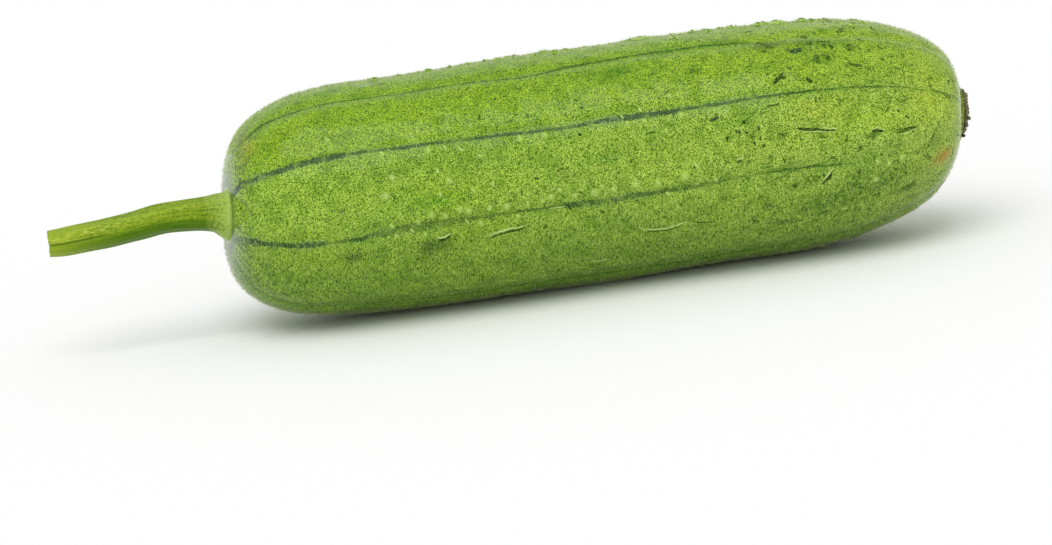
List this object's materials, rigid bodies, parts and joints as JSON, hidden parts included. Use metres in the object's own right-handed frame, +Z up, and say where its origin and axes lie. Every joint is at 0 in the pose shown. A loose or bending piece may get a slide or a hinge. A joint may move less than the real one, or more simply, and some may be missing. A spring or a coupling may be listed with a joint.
{
  "type": "sponge gourd",
  "caption": "Whole sponge gourd lying on its side, with shallow vein furrows, low warts, a ridged cut stem and a corky blossom scar.",
  "frame": {"origin": "on the surface that the gourd lies on, below the middle of its length and width", "axes": "+X along the fruit from the stem to the blossom end, +Z up, -Y towards the front of the gourd"},
  "size_m": [0.287, 0.0738, 0.0723],
  "materials": {
    "rind": "matt green rind, finely mottled",
    "peduncle": "smooth yellow-green stem, slightly waxy",
    "cork": "dry grey-brown cork"
  },
  "bodies": {
    "root": {"fruit": "rind", "stem": "peduncle", "blossom_scar": "cork"}
  },
  "joints": []
}
